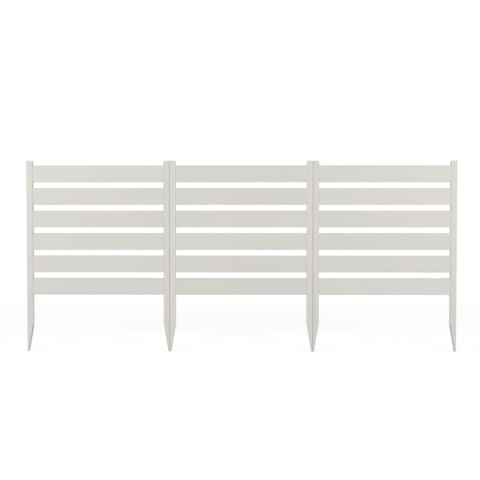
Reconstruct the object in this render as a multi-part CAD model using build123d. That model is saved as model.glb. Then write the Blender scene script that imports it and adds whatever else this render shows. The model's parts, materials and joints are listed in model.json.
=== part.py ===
from build123d import *
from math import sqrt
import os

# Slatted vinyl garden fence: three equal push-in panels standing side by side.
# Each panel has two square tube posts cut to stakes, six hollow slats and two post caps.
# All sizes are in millimetres. +X runs along the fence, +Y to its back and +Z up.

# Panels, named from left to right seen from the front
PANEL_NAMES = ("left", "middle", "right")
PANEL_WIDTH = 914.0

# Posts: extruded square tubes, mitred on the inner side to make the stakes
POST_WIDTH = 38.0
POST_DEPTH = 38.0
POST_WALL = 2.2
POST_CORNER_RADIUS = 2.5
STAKE_LENGTH = 363.0
MITRE_HEIGHT = 178.0
FOOT_WIDTH = 8.0
TOP_MARGIN = 24.0

# Slats: hollow extrusions with inner webs, numbered from the top
SLAT_COUNT = 6
SLAT_HEIGHT = 106.0
SLAT_GAP = 38.0
SLAT_THICKNESS = 30.0
SLAT_WALL = 1.8
SLAT_CORNER_RADIUS = 3.0
SLAT_WEB_COUNT = 2
SLAT_WEB = 1.5

# Caps: moulded heads with a small lip all round and a hollow plug inside the post
CAP_HEAD = 6.0
CAP_LIP = 0.5
CAP_TOP_CHAMFER = 0.8
CAP_PLUG = 12.0
CAP_WALL = 2.0

# Fits
SLOT_CLEARANCE = 0.3
SLAT_END_CLEARANCE = 2.0
PLUG_CLEARANCE = 0.2

# Sizes that follow from those above
SLAT_PITCH = SLAT_HEIGHT + SLAT_GAP
SLAT_LENGTH = PANEL_WIDTH - 2 * (POST_WALL + SLAT_END_CLEARANCE)
POST_LENGTH = STAKE_LENGTH + SLAT_COUNT * SLAT_PITCH - SLAT_GAP + TOP_MARGIN
BORE_WIDTH = POST_WIDTH - 2 * POST_WALL
BORE_DEPTH = POST_DEPTH - 2 * POST_WALL
SLOT_CORNER_CHAMFER = (2 - sqrt(2)) * (SLAT_CORNER_RADIUS + SLOT_CLEARANCE)
CHAMBER_COUNT = SLAT_WEB_COUNT + 1
CHAMBER_HEIGHT = (SLAT_HEIGHT - 2 * SLAT_WALL - SLAT_WEB_COUNT * SLAT_WEB) / CHAMBER_COUNT

# The caps of neighbouring panels touch, which leaves a narrow gap between their posts
PANEL_PITCH = PANEL_WIDTH + 2 * CAP_LIP

# The origin is on the foot of the left end post, in the middle of its outer wall
FENCE_START = -POST_WALL / 2


def slat_centre_height(number):
    """Height of a slat's middle above the feet, with slat 1 at the top."""
    return POST_LENGTH - TOP_MARGIN - SLAT_HEIGHT / 2 - (number - 1) * SLAT_PITCH


def post_tube():
    """Square tube standing on its foot, with its outer face on the panel's left end."""
    outside = RectangleRounded(POST_WIDTH, POST_DEPTH, POST_CORNER_RADIUS)
    bore = Rectangle(BORE_WIDTH, BORE_DEPTH)
    return Pos(X=POST_WIDTH / 2) * extrude(outside - bore, POST_LENGTH)


def slat_slots():
    """Cutters for the openings routed in the inner wall of a left post, one for each slat."""
    opening = Rectangle(SLAT_THICKNESS + 2 * SLOT_CLEARANCE, SLAT_HEIGHT + 2 * SLOT_CLEARANCE)
    opening = chamfer(opening.vertices(), SLOT_CORNER_CHAMFER)
    cutter = Plane.YZ * extrude(opening, POST_WIDTH / 2)
    numbers = range(1, SLAT_COUNT + 1)
    return [Pos(POST_WIDTH / 2, 0, slat_centre_height(number)) * cutter for number in numbers]


def stake_mitre():
    """Slanted plane of the stake's cut, which starts at the foot and climbs to the inner face."""
    return Plane(
        origin=(FOOT_WIDTH, 0, 0),
        x_dir=(0, 1, 0),
        z_dir=(-MITRE_HEIGHT, 0, POST_WIDTH - FOOT_WIDTH),
    )


def left_post():
    """Routed tube with its lower end mitred to a blunt foot on the outer side."""
    return split(post_tube() - slat_slots(), bisect_by=stake_mitre(), keep=Keep.TOP)


def right_post():
    """Mirror image of the left post, at the panel's other end."""
    return Pos(X=PANEL_WIDTH) * mirror(left_post(), about=Plane.YZ)


def slat(number):
    """Chambered extrusion whose ends sit inside the two posts."""
    outside = RectangleRounded(SLAT_THICKNESS, SLAT_HEIGHT, SLAT_CORNER_RADIUS)
    chamber = Rectangle(SLAT_THICKNESS - 2 * SLAT_WALL, CHAMBER_HEIGHT)
    chambers = GridLocations(0, CHAMBER_HEIGHT + SLAT_WEB, 1, CHAMBER_COUNT) * chamber
    body = Plane.YZ * extrude(outside - chambers, SLAT_LENGTH)
    return Pos(POST_WALL + SLAT_END_CLEARANCE, 0, slat_centre_height(number)) * body


def cap():
    """Flat head resting on the post's end, with its plug in the bore, centred on the post's axis."""
    outline = RectangleRounded(
        POST_WIDTH + 2 * CAP_LIP,
        POST_DEPTH + 2 * CAP_LIP,
        POST_CORNER_RADIUS + CAP_LIP,
    )
    plug_width = BORE_WIDTH - 2 * PLUG_CLEARANCE
    plug_depth = BORE_DEPTH - 2 * PLUG_CLEARANCE
    head = extrude(outline, CAP_HEAD)
    head = chamfer(head.edges().group_by(Axis.Z)[-1], CAP_TOP_CHAMFER)
    plug = extrude(Rectangle(plug_width, plug_depth), -CAP_PLUG)
    hollow = Rectangle(plug_width - 2 * CAP_WALL, plug_depth - 2 * CAP_WALL)
    hollow = Pos(Z=-CAP_PLUG) * extrude(hollow, CAP_PLUG + CAP_HEAD - CAP_WALL)
    return Pos(Z=POST_LENGTH) * (head + plug - hollow)


def panel_pieces():
    """One panel's pieces by name, from its left end at X = 0."""
    pieces = {
        "left_post": left_post(),
        "right_post": right_post(),
        "left_cap": Pos(X=POST_WIDTH / 2) * cap(),
        "right_cap": Pos(X=PANEL_WIDTH - POST_WIDTH / 2) * cap(),
    }
    for number in range(1, SLAT_COUNT + 1):
        pieces[f"slat_{number}"] = slat(number)
    return pieces


def main():
    """Write each piece of the three panels, in its place along the fence."""
    os.makedirs("parts", exist_ok=True)
    pieces = panel_pieces()
    for index, panel in enumerate(PANEL_NAMES):
        place = Pos(X=FENCE_START + index * PANEL_PITCH)
        for piece, solid in pieces.items():
            export_step(place * solid, f"parts/{panel}_panel_{piece}.step")


main()
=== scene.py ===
"""Slatted vinyl garden fence: finish of its slats and posts, moulded caps and a plain studio stage."""
import json
from math import radians, tau

import bmesh
import bpy
from bpy.props import FloatProperty, FloatVectorProperty, IntProperty, PointerProperty
from mathutils import Matrix, Vector


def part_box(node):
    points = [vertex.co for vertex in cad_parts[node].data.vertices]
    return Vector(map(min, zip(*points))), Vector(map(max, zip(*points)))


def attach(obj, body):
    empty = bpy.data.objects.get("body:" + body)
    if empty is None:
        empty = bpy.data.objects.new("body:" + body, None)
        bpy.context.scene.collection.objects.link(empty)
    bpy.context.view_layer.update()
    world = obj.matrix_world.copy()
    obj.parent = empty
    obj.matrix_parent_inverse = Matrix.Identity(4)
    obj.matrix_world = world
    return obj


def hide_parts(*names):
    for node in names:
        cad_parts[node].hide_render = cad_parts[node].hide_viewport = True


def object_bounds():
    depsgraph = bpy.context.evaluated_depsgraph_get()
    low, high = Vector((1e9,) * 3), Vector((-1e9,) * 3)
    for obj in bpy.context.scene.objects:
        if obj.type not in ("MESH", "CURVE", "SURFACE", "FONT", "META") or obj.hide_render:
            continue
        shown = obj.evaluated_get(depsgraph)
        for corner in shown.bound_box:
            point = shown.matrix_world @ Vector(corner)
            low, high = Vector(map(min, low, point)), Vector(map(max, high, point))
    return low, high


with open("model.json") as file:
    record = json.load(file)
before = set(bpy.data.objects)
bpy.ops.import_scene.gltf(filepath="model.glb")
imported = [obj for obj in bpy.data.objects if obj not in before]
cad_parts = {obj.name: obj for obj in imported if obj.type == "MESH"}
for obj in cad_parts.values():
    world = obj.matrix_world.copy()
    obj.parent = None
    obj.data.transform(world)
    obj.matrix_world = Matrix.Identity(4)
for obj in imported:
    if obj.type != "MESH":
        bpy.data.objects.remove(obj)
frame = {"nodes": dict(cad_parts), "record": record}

bl_info = {
    "name": "Slatted Vinyl Fence",
    "version": (1, 0, 0),
    "blender": (4, 5, 0),
    "location": "View3D > Sidebar > Fence",
    "description": "Finishes the slats, posts and caps of a vinyl garden fence on a plain stage",
    "category": "Object",
}

# Pieces and places that the frame gives, in metres: +X along the fence, +Y to its back, +Z up
BODY = "root"
FENCE_LOW, FENCE_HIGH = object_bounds()
FENCE_CENTRE = (FENCE_LOW + FENCE_HIGH) / 2
SLATS = sorted(name for name in frame["nodes"] if "_slat_" in name)
POSTS = sorted(name for name in frame["nodes"] if name.endswith("_post"))
CAPS = sorted(name for name in frame["nodes"] if name.endswith("_cap"))
POST_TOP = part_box(POSTS[0])[1].z
SLAT_LOWS = sorted({round(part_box(name)[0].z, 6) for name in SLATS})
SLAT_PITCH = SLAT_LOWS[1] - SLAT_LOWS[0]
SLAT_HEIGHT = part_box(SLATS[0])[1].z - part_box(SLATS[0])[0].z
PANEL_STARTS = sorted({round(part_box(name)[0].x, 6) for name in SLATS})
PANEL_PITCH = PANEL_STARTS[1] - PANEL_STARTS[0]
COLOURS = {row["slot"]: row["base_color"] for row in frame["record"]["materials"]}

# Rows of like pieces, each with the place where it starts and the spacing of its pieces.
# FAR lies past every side of the fence, so a row doesn't divide there.
# HAIR keeps the outer faces of the end caps inside their row.
FAR = 10.0
HAIR = 0.00005
SLAT_ROWS = (
    (FENCE_LOW.x, -FAR, SLAT_LOWS[0] - (SLAT_PITCH - SLAT_HEIGHT) / 2),
    (PANEL_PITCH, 2 * FAR, SLAT_PITCH),
)
POST_ROW = (
    (FENCE_LOW.x - HAIR, -FAR, -FAR),
    ((FENCE_HIGH.x - FENCE_LOW.x + 2 * HAIR) / len(POSTS), 2 * FAR, 2 * FAR),
)

# Patterns of an extrusion's skin: marks to the metre along it and across it, and levels of finer detail
EXTRUDED_PATTERNS = {
    "clouds": (2.2, 9.0, 2.0),
    "drift": (1.3, 5.0, 1.0),
    "streaks": (0.6, 120.0, 3.0),
    "waves": (3.0, 11.0, 1.0),
    "die_lines": (0.5, 420.0, 4.0),
    "pebbles": (900.0, 900.0, 2.0),
}

# The same for a moulded cap, whose skin is alike in all directions
MOULDED_PATTERNS = {
    "clouds": (12.0, 12.0, 2.0),
    "flow": (60.0, 60.0, 3.0),
    "pebbles": (1400.0, 1400.0, 1.0),
}

# Axes that the slats and the posts run along
ALONG_X = 0
ALONG_Z = 2

# Shares of the slow pattern, the fine pattern and the piece's own shade in its tone
TONE_SHARES = (0.45, 0.35, 0.2)

# Faces of a post that point down by more than this were sawn; they get saw marks and a darker colour
# that is partly duller sawn vinyl and partly painted shade
SAWN_SLOPE = -0.1

# How squarely the middle of a rounded corner and a flat face point along an axis
CORNER_FACING = 0.92
FLAT_FACING = 0.995

# Length of one wave of the wave texture at a scale of 1, and finer detail in the saw marks' waver
WAVE_LENGTH = tau / 20
WAVER_DETAIL = 2.0

# Step of the stack in which a cap's rings are bridged, because rings that lie in one plane can twist
RING_STEP = 0.02

# Edges of a cap that turn by more than this stay sharp
SMOOTH_ANGLE = radians(40)

# Round floor, just under the stakes' feet
FLOOR_DROP = 0.0005
FLOOR_SIDES = 64

# Turn about X at which the camera looks level, and its sensor's width in millimetres
LEVEL = radians(90)
SENSOR_WIDTH = 36.0

WHITE = (1.0, 1.0, 1.0, 1.0)
BLACK = (0.0, 0.0, 0.0, 1.0)

# Sockets of the Mix node for colours, which share their names with those for other data
MIX_FACTOR, MIX_FIRST, MIX_SECOND, MIX_RESULT = 0, 6, 7, 2


class VinylFinish(bpy.types.PropertyGroup):
    """Colour, gloss and surface relief of the extruded and moulded vinyl."""

    slat_colour: FloatVectorProperty(
        name="Slat colour", description="Colour of the slats",
        subtype="COLOR", size=3, min=0, max=1, default=COLOURS["slat_vinyl"])
    post_colour: FloatVectorProperty(
        name="Post colour", description="Colour of the posts",
        subtype="COLOR", size=3, min=0, max=1, default=COLOURS["post_vinyl"])
    cap_colour: FloatVectorProperty(
        name="Cap colour", description="Colour of the caps",
        subtype="COLOR", size=3, min=0, max=1, default=COLOURS["cap_vinyl"])
    tone_spread: FloatProperty(
        name="Tone spread", description="Share by which the colour gets lighter and darker",
        subtype="FACTOR", min=0, max=1, default=0.12)
    warmth_spread: FloatProperty(
        name="Warmth spread", description="Share by which the colour gets warmer and cooler",
        subtype="FACTOR", min=0, max=1, default=0.05)
    roughness: FloatProperty(
        name="Roughness", description="Mean roughness of the satin surface",
        subtype="FACTOR", min=0, max=1, default=0.42)
    roughness_spread: FloatProperty(
        name="Roughness spread", description="How far the roughness varies over a piece",
        subtype="FACTOR", min=0, max=1, default=0.14)
    corner_gloss: FloatProperty(
        name="Corner gloss", description="Roughness that the rounded corners lose by rubbing",
        subtype="FACTOR", min=0, max=1, default=0.1)
    refraction: FloatProperty(
        name="Refractive index", description="Refractive index of rigid vinyl",
        min=1, max=3, default=1.53)
    waviness: FloatProperty(
        name="Waviness", description="Height of the slow waves in a thin extruded wall",
        unit="LENGTH", precision=5, min=0, default=0.0006)
    die_lines: FloatProperty(
        name="Die lines", description="Height of the fine lines along an extrusion",
        unit="LENGTH", precision=5, min=0, default=0.00003)
    peel: FloatProperty(
        name="Peel", description="Height of the fine pebbling of an extrusion",
        unit="LENGTH", precision=5, min=0, default=0.00001)
    mould_flow: FloatProperty(
        name="Mould flow", description="Height of the flow marks of a moulded cap",
        unit="LENGTH", precision=5, min=0, default=0.00003)
    mould_grain: FloatProperty(
        name="Mould grain", description="Height of the fine pebbling of a moulded cap",
        unit="LENGTH", precision=5, min=0, default=0.00002)
    web_spacing: FloatProperty(
        name="Web spacing", description="Distance between the two inner webs of a slat",
        unit="LENGTH", precision=5, min=0, default=0.03463)
    sink_width: FloatProperty(
        name="Sink width", description="Half the width of the faint hollow along an inner web",
        unit="LENGTH", precision=5, min=0, default=0.004)
    sink_depth: FloatProperty(
        name="Sink depth", description="Depth of the faint hollow along an inner web",
        unit="LENGTH", precision=5, min=0, default=0.00008)
    saw_pitch: FloatProperty(
        name="Saw mark pitch", description="Distance between saw marks on the stakes' cut faces",
        unit="LENGTH", precision=5, min=0.0001, default=0.0022)
    saw_depth: FloatProperty(
        name="Saw mark depth", description="Depth of the saw marks",
        unit="LENGTH", precision=5, min=0, default=0.00012)
    saw_waver: FloatProperty(
        name="Saw mark waver", description="How far the saw marks stray from straight lines",
        min=0, default=2.5)
    # Darkening of faces that point down: partly duller sawn vinyl, partly painted shade
    sawn_dulling_and_shade: FloatProperty(
        name="Cut face dulling", description="Share by which a cut face is darker than the skin",
        subtype="FACTOR", min=0, max=1, default=0.06)
    saw_roughness: FloatProperty(
        name="Cut face roughness", description="Roughness that a cut face has beyond the skin's",
        subtype="FACTOR", min=0, max=1, default=0.2)


class CapShape(bpy.types.PropertyGroup):
    """Sizes of a moulded cap that its box in the frame doesn't give."""

    corner_radius: FloatProperty(
        name="Corner radius", description="Radius of the head's upright corners",
        unit="LENGTH", precision=5, min=0.0001, default=0.003)
    corner_segments: IntProperty(
        name="Corner segments", description="Faces round each upright corner",
        min=1, max=32, default=6)
    edge_radius: FloatProperty(
        name="Edge radius", description="Radius of the rounded edge round the top",
        unit="LENGTH", precision=5, min=0.0001, default=0.0011)
    edge_segments: IntProperty(
        name="Edge segments", description="Faces across the rounded edge",
        min=1, max=16, default=4)
    rim_break: FloatProperty(
        name="Rim break", description="Radius that breaks the head's lower rim",
        unit="LENGTH", precision=5, min=0.0001, default=0.0003)
    rim_segments: IntProperty(
        name="Rim segments", description="Faces across the broken rim",
        min=1, max=16, default=2)
    plug_inset: FloatProperty(
        name="Plug inset", description="Step from the head's side to the plug's side",
        unit="LENGTH", precision=5, min=0.0001, default=0.0029)
    plug_corner: FloatProperty(
        name="Plug corner radius", description="Radius of the plug's upright corners",
        unit="LENGTH", precision=5, min=0.0001, default=0.0012)
    bore_corner: FloatProperty(
        name="Bore corner radius", description="Radius of the upright corners inside the plug",
        unit="LENGTH", precision=5, min=0.0001, default=0.0006)
    wall: FloatProperty(
        name="Wall", description="Thickness of the plug's walls and of the head's top",
        unit="LENGTH", precision=5, min=0.0001, default=0.002)


class StageSetup(bpy.types.PropertyGroup):
    """Camera, lamps and floor."""

    lens: FloatProperty(
        name="Lens", description="Focal length on a sensor 36 mm wide",
        unit="CAMERA", min=1, default=71.25)
    camera_side: FloatProperty(
        name="Camera side", description="How far the camera stands to the right of the fence's middle",
        unit="LENGTH", default=0.0796)
    camera_distance: FloatProperty(
        name="Camera distance", description="Distance of the camera in front of the fence",
        unit="LENGTH", min=0.1, default=6.075)
    camera_height: FloatProperty(
        name="Camera height", description="Height of the camera above the stakes' feet",
        unit="LENGTH", default=0.922)
    camera_tilt: FloatProperty(
        name="Camera tilt", description="Angle by which the camera looks down",
        subtype="ANGLE", default=radians(1.965))
    camera_turn: FloatProperty(
        name="Camera turn", description="Angle by which the camera looks to the left",
        subtype="ANGLE", default=radians(0.82))
    ambient: FloatProperty(
        name="Ambient", description="Strength of the even light from all round",
        min=0, default=0.5)
    softbox_power: FloatProperty(
        name="Softbox power", description="Power of each of the two lamps in front",
        unit="POWER", min=0, default=62)
    softbox_size: FloatProperty(
        name="Softbox size", description="Width and height of each lamp in front",
        unit="LENGTH", min=0.1, default=1.8)
    softbox_reach: FloatProperty(
        name="Softbox reach", description="How far each lamp stands to the side of the fence's middle",
        unit="LENGTH", default=2.8)
    softbox_height: FloatProperty(
        name="Softbox height", description="Height of the lamps' middles above the floor",
        unit="LENGTH", default=1.6)
    softbox_distance: FloatProperty(
        name="Softbox distance", description="Distance of the lamps in front of the fence",
        unit="LENGTH", default=4.5)
    fill_power: FloatProperty(
        name="Fill power", description="Power of the lamp far behind the fence",
        unit="POWER", min=0, default=520)
    fill_size: FloatProperty(
        name="Fill size", description="Width and height of the lamp behind",
        unit="LENGTH", min=0.1, default=4)
    fill_height: FloatProperty(
        name="Fill height", description="Height of the rear lamp's middle above the floor",
        unit="LENGTH", default=2.6)
    fill_distance: FloatProperty(
        name="Fill distance", description="Distance of the lamp behind the fence",
        unit="LENGTH", default=12)
    floor_albedo: FloatProperty(
        name="Floor albedo", description="Share of light that the pale floor gives back",
        subtype="FACTOR", min=0, max=1, default=0.85)
    floor_lift: FloatProperty(
        name="Floor lift", description="Glow that brings the lit floor up to the white backdrop",
        min=0, default=0.425)
    floor_radius: FloatProperty(
        name="Floor radius", description="Radius of the round floor",
        unit="LENGTH", min=1, default=40)
    floor_fade_start: FloatProperty(
        name="Fade start", description="Distance from the fence where the floor starts to fade",
        unit="LENGTH", min=0, default=3)
    floor_fade_end: FloatProperty(
        name="Fade end", description="Distance from the fence where the floor is plain white",
        unit="LENGTH", min=0, default=8)


def add_node(tree, kind, inputs=None, **settings):
    """Add a node with its settings, and set or link its inputs by name or number."""
    node = tree.nodes.new("ShaderNode" + kind)
    for name, value in settings.items():
        setattr(node, name, value)
    for key, value in (inputs or {}).items():
        if isinstance(value, bpy.types.NodeSocket):
            tree.links.new(value, node.inputs[key])
        else:
            node.inputs[key].default_value = value
    return node


def calculate(tree, operation, *values):
    """Result of one sum on sockets or numbers."""
    node = add_node(tree, "Math", dict(enumerate(values)), operation=operation)
    return node.outputs["Value"]


def fall_off(tree, value, start, end):
    """Smooth step from 1 where the value is at its start to 0 at its end."""
    node = add_node(
        tree, "MapRange",
        {"Value": value, "From Min": start, "From Max": end, "To Min": 1.0, "To Max": 0.0},
        interpolation_type="SMOOTHSTEP")
    return node.outputs["Result"]


def speckle(tree, point, marks, detail):
    """Soft random pattern from 0 to 1, with so many marks to the metre along X, Y and Z."""
    stretched = add_node(tree, "Mapping", {"Vector": point, "Scale": marks})
    pattern = add_node(
        tree, "TexNoise", {"Vector": stretched.outputs["Vector"], "Scale": 1.0, "Detail": detail})
    return pattern.outputs["Fac"]


def piece_shade(tree, point, start, spacing):
    """Random value from 0 to 1 that is even over a piece and differs from piece to piece."""
    offset = add_node(tree, "VectorMath", {0: point, 1: start}, operation="SUBTRACT").outputs["Vector"]
    cell = add_node(tree, "VectorMath", {0: offset, 1: spacing}, operation="SNAP").outputs["Vector"]
    return add_node(tree, "TexWhiteNoise", {"Vector": cell}, noise_dimensions="3D").outputs["Value"]


def blend_colours(tree, factor, first, second):
    """Colour that goes from the first to the second as the factor goes from 0 to 1."""
    node = add_node(
        tree, "Mix", {MIX_FACTOR: factor, MIX_FIRST: first, MIX_SECOND: second}, data_type="RGBA")
    return node.outputs[MIX_RESULT]


def weigh(tree, patterns, shares):
    """Sum of patterns, each times its share."""
    total = 0.0
    for pattern, share in zip(patterns, shares):
        total = calculate(tree, "MULTIPLY_ADD", pattern, share, total)
    return total


def relief(tree, patterns, heights):
    """Normal that follows patterns, each with its height in metres."""
    bump = add_node(
        tree, "Bump", {"Height": weigh(tree, patterns, heights), "Strength": 1.0, "Distance": 1.0})
    return bump.outputs["Normal"]


def tinted(colour, lighter, warmer):
    """Colour made lighter and warmer by shares, or darker and cooler where a share is below 0."""
    red, green, blue = (channel * (1 + lighter) for channel in colour)
    return (red * (1 + warmer), green, blue * (1 - warmer), 1.0)


def toned(tree, colour, tone, drift):
    """Colour that goes from dark to light with one pattern, and from warm to cool with another."""
    finish = bpy.context.scene.vinyl_finish
    light = finish.tone_spread / 2
    warm = finish.warmth_spread / 2
    shades = [
        blend_colours(tree, tone, tinted(colour, -light, warmer), tinted(colour, light, warmer))
        for warmer in (warm, -warm)
    ]
    return blend_colours(tree, drift, *shades)


def rubbed_corners(tree, place):
    """Pattern that is 1 on rounded corners and 0 on flat faces."""
    facing = add_node(tree, "VectorMath", {0: place.outputs["Normal"]}, operation="ABSOLUTE")
    along = add_node(tree, "SeparateXYZ", {"Vector": facing.outputs["Vector"]}).outputs
    sideways = calculate(tree, "MAXIMUM", along["X"], along["Y"])
    squarely = calculate(tree, "MAXIMUM", sideways, along["Z"])
    return fall_off(tree, squarely, CORNER_FACING, FLAT_FACING)


def satin(tree, place, pattern):
    """Roughness that varies with a pattern about the skin's mean, and is less on rounded corners."""
    finish = bpy.context.scene.vinyl_finish
    lowest = finish.roughness - finish.roughness_spread / 2
    skin = calculate(tree, "MULTIPLY_ADD", pattern, finish.roughness_spread, lowest)
    return calculate(tree, "MULTIPLY_ADD", rubbed_corners(tree, place), -finish.corner_gloss, skin)


def new_vinyl(name):
    """New material with its shader, and the node that gives the place on the piece."""
    material = bpy.data.materials.new(name)
    material.use_nodes = True
    tree = material.node_tree
    tree.nodes.clear()
    place = add_node(tree, "TexCoord")
    shader = add_node(tree, "BsdfPrincipled", {"IOR": bpy.context.scene.vinyl_finish.refraction})
    add_node(tree, "OutputMaterial", {"Surface": shader.outputs["BSDF"]})
    return material, tree, shader, place


def finish_shader(tree, shader, colour, rough, normal):
    """Link a colour, a roughness and a normal to the shader."""
    for name, socket in (("Base Color", colour), ("Roughness", rough), ("Normal", normal)):
        tree.links.new(socket, shader.inputs[name])


def skin_patterns(tree, point, table, axis):
    """Patterns of a table, for a skin whose run is along the axis with this number."""
    patterns = {}
    for name, (along, across, detail) in table.items():
        marks = [across] * 3
        marks[axis] = along
        patterns[name] = speckle(tree, point, marks, detail)
    return patterns


def web_hollows(tree, point):
    """Pattern that is 1 along a slat's inner webs and 0 away from them."""
    finish = bpy.context.scene.vinyl_finish
    height = add_node(tree, "SeparateXYZ", {"Vector": point}).outputs["Z"]
    climb = calculate(tree, "SUBTRACT", height, SLAT_LOWS[0])
    above = calculate(tree, "FLOORED_MODULO", climb, SLAT_PITCH)
    off_middle = calculate(tree, "ABSOLUTE", calculate(tree, "SUBTRACT", above, SLAT_HEIGHT / 2))
    past_web = calculate(tree, "SUBTRACT", off_middle, finish.web_spacing / 2)
    return fall_off(tree, calculate(tree, "ABSOLUTE", past_web), 0.0, finish.sink_width)


def sawn_faces(tree, place):
    """Patterns of a post's cut faces: 1 on them and 0 elsewhere, and the saw marks across them."""
    finish = bpy.context.scene.vinyl_finish
    slope = add_node(tree, "SeparateXYZ", {"Vector": place.outputs["Normal"]}).outputs["Z"]
    sawn = calculate(tree, "LESS_THAN", slope, SAWN_SLOPE)
    waves = {
        "Vector": place.outputs["Object"],
        "Scale": WAVE_LENGTH / finish.saw_pitch,
        "Distortion": finish.saw_waver,
        "Detail": WAVER_DETAIL,
    }
    marks = add_node(tree, "TexWave", waves, wave_type="BANDS", bands_direction="Z").outputs["Fac"]
    return sawn, calculate(tree, "MULTIPLY", sawn, marks)


def slat_vinyl():
    """Satin extrusion that runs along X, with faint hollows over its inner webs."""
    finish = bpy.context.scene.vinyl_finish
    material, tree, shader, place = new_vinyl("slat_vinyl_satin")
    point = place.outputs["Object"]
    skin = skin_patterns(tree, point, EXTRUDED_PATTERNS, ALONG_X)
    shade = piece_shade(tree, point, *SLAT_ROWS)
    tone = weigh(tree, (skin["clouds"], skin["streaks"], shade), TONE_SHARES)
    normal = relief(
        tree,
        (skin["waves"], skin["die_lines"], skin["pebbles"], web_hollows(tree, point)),
        (finish.waviness, finish.die_lines, finish.peel, -finish.sink_depth))
    colour = toned(tree, finish.slat_colour, tone, skin["drift"])
    finish_shader(tree, shader, colour, satin(tree, place, skin["clouds"]), normal)
    return material


def post_vinyl():
    """Satin extrusion that runs along Z, with saw marks on the stakes' cut faces, whose darker colour
    is partly duller sawn vinyl and partly painted shade.
    """
    finish = bpy.context.scene.vinyl_finish
    material, tree, shader, place = new_vinyl("post_vinyl_satin")
    point = place.outputs["Object"]
    skin = skin_patterns(tree, point, EXTRUDED_PATTERNS, ALONG_Z)
    shade = piece_shade(tree, point, *POST_ROW)
    tone = weigh(tree, (skin["clouds"], skin["streaks"], shade), TONE_SHARES)
    sawn, saw_marks = sawn_faces(tree, place)
    normal = relief(
        tree,
        (skin["waves"], skin["die_lines"], skin["pebbles"], saw_marks),
        (finish.waviness, finish.die_lines, finish.peel, finish.saw_depth))
    clean = toned(tree, finish.post_colour, tone, skin["drift"])
    # Faces that point down are made darker: partly duller sawn vinyl, partly painted shade
    dulling_and_shade = calculate(tree, "MULTIPLY", sawn, finish.sawn_dulling_and_shade)
    smooth = satin(tree, place, skin["clouds"])
    rough = calculate(tree, "MULTIPLY_ADD", sawn, finish.saw_roughness, smooth)
    finish_shader(tree, shader, blend_colours(tree, dulling_and_shade, clean, BLACK), rough, normal)
    return material


def cap_vinyl():
    """Moulded vinyl with an even, finely pebbled skin."""
    finish = bpy.context.scene.vinyl_finish
    material, tree, shader, place = new_vinyl("cap_vinyl_moulded")
    point = place.outputs["Object"]
    skin = skin_patterns(tree, point, MOULDED_PATTERNS, ALONG_Z)
    shade = piece_shade(tree, point, *POST_ROW)
    tone = weigh(tree, (skin["clouds"], skin["flow"], shade), TONE_SHARES)
    normal = relief(tree, (skin["flow"], skin["pebbles"]), (finish.mould_flow, finish.mould_grain))
    colour = toned(tree, finish.cap_colour, tone, skin["clouds"])
    finish_shader(tree, shader, colour, satin(tree, place, skin["flow"]), normal)
    return material


def dress(names, material):
    """Put one material on CAD nodes, in place of the plain one they came with."""
    for name in names:
        for slot in frame["nodes"][name].material_slots:
            slot.material = material


def round_off(mesh, sharp, radius, segments, affect):
    """Round corners or edges, and return what the rounding made."""
    return bmesh.ops.bevel(
        mesh, geom=sharp, offset=radius, segments=segments, profile=0.5, affect=affect, material=-1)


def rounded_loop(mesh, centre, half_size, radius, segments, height):
    """Loop of edges round a rectangle with rounded corners."""
    place = Matrix.Translation((centre.x, centre.y, height))
    place = place @ Matrix.Diagonal((half_size.x, half_size.y, 1.0, 1.0))
    corners = bmesh.ops.create_grid(mesh, x_segments=1, y_segments=1, size=1.0, matrix=place)["verts"]
    rounded = round_off(mesh, corners, radius, segments, "VERTICES")
    face = rounded["verts"][0].link_faces[0]
    edges = list(face.edges)
    bmesh.ops.delete(mesh, geom=[face], context="FACES_ONLY")
    return edges


def model_cap(name, material):
    """Moulded cap in place of a CAD cap: rounded head, lip under it and hollow plug in the post."""
    shape = bpy.context.scene.cap_shape
    low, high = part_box(name)
    centre = (low + high) / 2
    head = (high - low) / 2
    plug = head - Vector((shape.plug_inset, shape.plug_inset, 0))
    bore = plug - Vector((shape.wall, shape.wall, 0))
    outlines = (
        (head, shape.corner_radius),
        (head, shape.corner_radius),
        (plug, shape.plug_corner),
        (plug, shape.plug_corner),
        (bore, shape.bore_corner),
        (bore, shape.bore_corner),
    )
    heights = (high.z, POST_TOP, POST_TOP, low.z, low.z, high.z - shape.wall)
    stack = [high.z - number * RING_STEP for number in range(len(heights))]
    mesh = bmesh.new()
    loops = [
        rounded_loop(mesh, centre, half_size, radius, shape.corner_segments, level)
        for (half_size, radius), level in zip(outlines, stack)
    ]
    for upper, lower in zip(loops, loops[1:]):
        bmesh.ops.bridge_loops(mesh, edges=upper + lower)
    for loop, level, height in zip(loops, stack, heights):
        points = list({point for edge in loop for point in edge.verts})
        bmesh.ops.translate(mesh, verts=points, vec=(0, 0, height - level))
    top, rim, ceiling = loops[0], loops[1], loops[-1]
    for loop in (top, ceiling):
        bmesh.ops.edgeloop_fill(mesh, edges=loop)
    bmesh.ops.recalc_face_normals(mesh, faces=mesh.faces)
    breaks = ((rim, shape.rim_break, shape.rim_segments), (top, shape.edge_radius, shape.edge_segments))
    for edges, radius, segments in breaks:
        round_off(mesh, edges, radius, segments, "EDGES")
    for face in mesh.faces:
        face.smooth = True
    data = bpy.data.meshes.new(name + "_moulded")
    mesh.to_mesh(data)
    mesh.free()
    data.set_sharp_from_angle(angle=SMOOTH_ANGLE)
    data.materials.append(material)
    piece = bpy.data.objects.new(name + "_moulded", data)
    bpy.context.scene.collection.objects.link(piece)
    piece.modifiers.new("Flat faces", "WEIGHTED_NORMAL").keep_sharp = True
    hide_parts(name)
    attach(piece, BODY)


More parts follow.
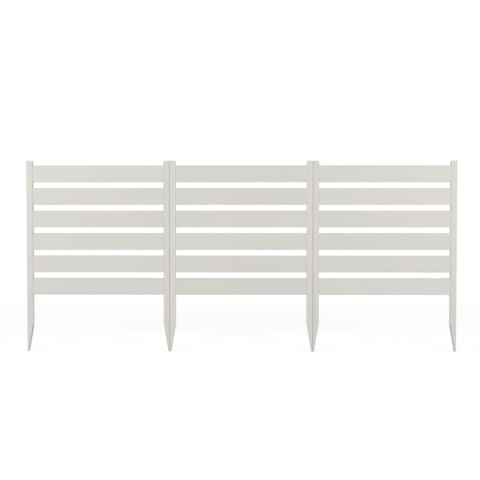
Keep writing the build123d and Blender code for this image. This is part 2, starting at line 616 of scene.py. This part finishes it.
def backdrop_rays(tree):
    """Socket that is 1 for the rays that show the backdrop, straight or in gloss or glass."""
    path = add_node(tree, "LightPath").outputs
    seen = calculate(tree, "MAXIMUM", path["Is Camera Ray"], path["Is Glossy Ray"])
    return calculate(tree, "MAXIMUM", seen, path["Is Transmission Ray"])


def light_world(stage):
    """White backdrop that lights the fence evenly from all round."""
    world = bpy.data.worlds.new("studio_backdrop")
    world.use_nodes = True
    tree = world.node_tree
    tree.nodes.clear()
    strength = calculate(tree, "MULTIPLY_ADD", backdrop_rays(tree), 1.0 - stage.ambient, stage.ambient)
    sky = add_node(tree, "Background", {"Color": WHITE, "Strength": strength})
    add_node(tree, "OutputWorld", {"Surface": sky.outputs["Background"]})
    bpy.context.scene.world = world


def floor_finish(stage):
    """Pale matt floor that keeps the fence's shadow and fades to the white backdrop far away."""
    material = bpy.data.materials.new("studio_floor")
    material.use_nodes = True
    tree = material.node_tree
    tree.nodes.clear()
    seen = backdrop_rays(tree)
    point = add_node(tree, "TexCoord").outputs["Object"]
    middle = (FENCE_CENTRE.x, FENCE_CENTRE.y, FENCE_LOW.z)
    away = add_node(tree, "VectorMath", {0: point, 1: middle}, operation="DISTANCE").outputs["Value"]
    near = fall_off(tree, away, stage.floor_fade_start, stage.floor_fade_end)
    matt = add_node(tree, "BsdfDiffuse", {"Color": (*[stage.floor_albedo] * 3, 1.0)})
    lift = calculate(tree, "MULTIPLY", seen, stage.floor_lift)
    glow = add_node(tree, "Emission", {"Color": WHITE, "Strength": lift})
    lifted = add_node(tree, "AddShader", {0: matt.outputs["BSDF"], 1: glow.outputs["Emission"]})
    plain = add_node(tree, "Emission", {"Color": WHITE, "Strength": 1.0})
    far = calculate(tree, "MULTIPLY", seen, calculate(tree, "SUBTRACT", 1.0, near))
    surface = add_node(
        tree, "MixShader", {0: far, 1: lifted.outputs["Shader"], 2: plain.outputs["Emission"]})
    add_node(tree, "OutputMaterial", {"Surface": surface.outputs["Shader"]})
    return material


def lay_floor(stage):
    """Round floor under the stakes' feet."""
    mesh = bmesh.new()
    place = Matrix.Translation((FENCE_CENTRE.x, FENCE_CENTRE.y, FENCE_LOW.z - FLOOR_DROP))
    bmesh.ops.create_circle(
        mesh, cap_ends=True, segments=FLOOR_SIDES, radius=stage.floor_radius, matrix=place)
    data = bpy.data.meshes.new("studio_floor")
    mesh.to_mesh(data)
    mesh.free()
    data.materials.append(floor_finish(stage))
    floor = bpy.data.objects.new("studio_floor", data)
    bpy.context.scene.collection.objects.link(floor)


def hang_softbox(name, place, size, power):
    """Large square lamp, placed from under the fence's middle and aimed at the fence's middle."""
    lamp = bpy.data.lights.new(name, "AREA")
    lamp.shape = "SQUARE"
    lamp.size = size
    lamp.energy = power
    softbox = bpy.data.objects.new(name, lamp)
    softbox.location = Vector((FENCE_CENTRE.x, FENCE_CENTRE.y, FENCE_LOW.z)) + Vector(place)
    aim = FENCE_CENTRE - softbox.location
    softbox.rotation_euler = aim.to_track_quat("-Z", "Y").to_euler()
    softbox.visible_camera = False
    bpy.context.scene.collection.objects.link(softbox)
    return softbox


def hang_lamps(stage):
    """Two softboxes in front of the fence, and one far behind that doesn't show in its gloss."""
    for name, side in (("left_softbox", -1), ("right_softbox", 1)):
        place = (side * stage.softbox_reach, -stage.softbox_distance, stage.softbox_height)
        hang_softbox(name, place, stage.softbox_size, stage.softbox_power)
    place = (0, stage.fill_distance, stage.fill_height)
    fill = hang_softbox("rear_fill", place, stage.fill_size, stage.fill_power)
    fill.visible_glossy = False


def place_camera(stage):
    """Camera in front of the fence, where the photograph was taken."""
    camera = bpy.data.objects.new("camera", bpy.data.cameras.new("camera"))
    camera.data.sensor_width = SENSOR_WIDTH
    camera.data.lens = stage.lens
    camera.location = (FENCE_CENTRE.x + stage.camera_side, -stage.camera_distance, stage.camera_height)
    camera.rotation_euler = (LEVEL - stage.camera_tilt, 0, stage.camera_turn)
    bpy.context.scene.collection.objects.link(camera)
    bpy.context.scene.camera = camera


class FENCE_OT_finish_slats(bpy.types.Operator):
    """Give every slat its satin extruded vinyl"""

    bl_idname = "fence.finish_slats"
    bl_label = "Finish slats"

    def execute(self, context):
        dress(SLATS, slat_vinyl())
        return {"FINISHED"}


class FENCE_OT_finish_posts(bpy.types.Operator):
    """Give every post its satin extruded vinyl and sawn stake"""

    bl_idname = "fence.finish_posts"
    bl_label = "Finish posts"

    def execute(self, context):
        dress(POSTS, post_vinyl())
        return {"FINISHED"}


class FENCE_OT_mould_caps(bpy.types.Operator):
    """Model a moulded cap on top of every post"""

    bl_idname = "fence.mould_caps"
    bl_label = "Mould caps"

    def execute(self, context):
        material = cap_vinyl()
        for name in CAPS:
            model_cap(name, material)
        return {"FINISHED"}


class FENCE_OT_set_stage(bpy.types.Operator):
    """Lay the floor, hang the lamps and place the camera"""

    bl_idname = "fence.set_stage"
    bl_label = "Set stage"

    def execute(self, context):
        stage = context.scene.stage_setup
        context.scene.view_settings.view_transform = "Standard"
        light_world(stage)
        lay_floor(stage)
        hang_lamps(stage)
        place_camera(stage)
        return {"FINISHED"}


OPERATORS = (FENCE_OT_finish_slats, FENCE_OT_finish_posts, FENCE_OT_mould_caps, FENCE_OT_set_stage)
GROUPS = {"vinyl_finish": VinylFinish, "cap_shape": CapShape, "stage_setup": StageSetup}


class FENCE_PT_maker(bpy.types.Panel):
    """Sizes, colours and steps of the fence"""

    bl_idname = "FENCE_PT_maker"
    bl_label = "Slatted vinyl fence"
    bl_space_type = "VIEW_3D"
    bl_region_type = "UI"
    bl_category = "Fence"

    def draw(self, context):
        for group_name, group in GROUPS.items():
            box = self.layout.box()
            for name in group.__annotations__:
                box.prop(getattr(context.scene, group_name), name)
        for operator in OPERATORS:
            self.layout.operator(operator.bl_idname)


CLASSES = (*GROUPS.values(), *OPERATORS, FENCE_PT_maker)


def register():
    """Register the classes and hang their settings on the scene."""
    for kind in CLASSES:
        bpy.utils.register_class(kind)
    for name, group in GROUPS.items():
        setattr(bpy.types.Scene, name, PointerProperty(type=group))


def unregister():
    """Take the settings off the scene and unregister the classes."""
    for name in GROUPS:
        delattr(bpy.types.Scene, name)
    for kind in reversed(CLASSES):
        bpy.utils.unregister_class(kind)


def main():
    """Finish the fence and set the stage."""
    register()
    bpy.ops.fence.finish_slats()
    bpy.ops.fence.finish_posts()
    bpy.ops.fence.mould_caps()
    bpy.ops.fence.set_stage()


if __name__ == "__main__":
    main()
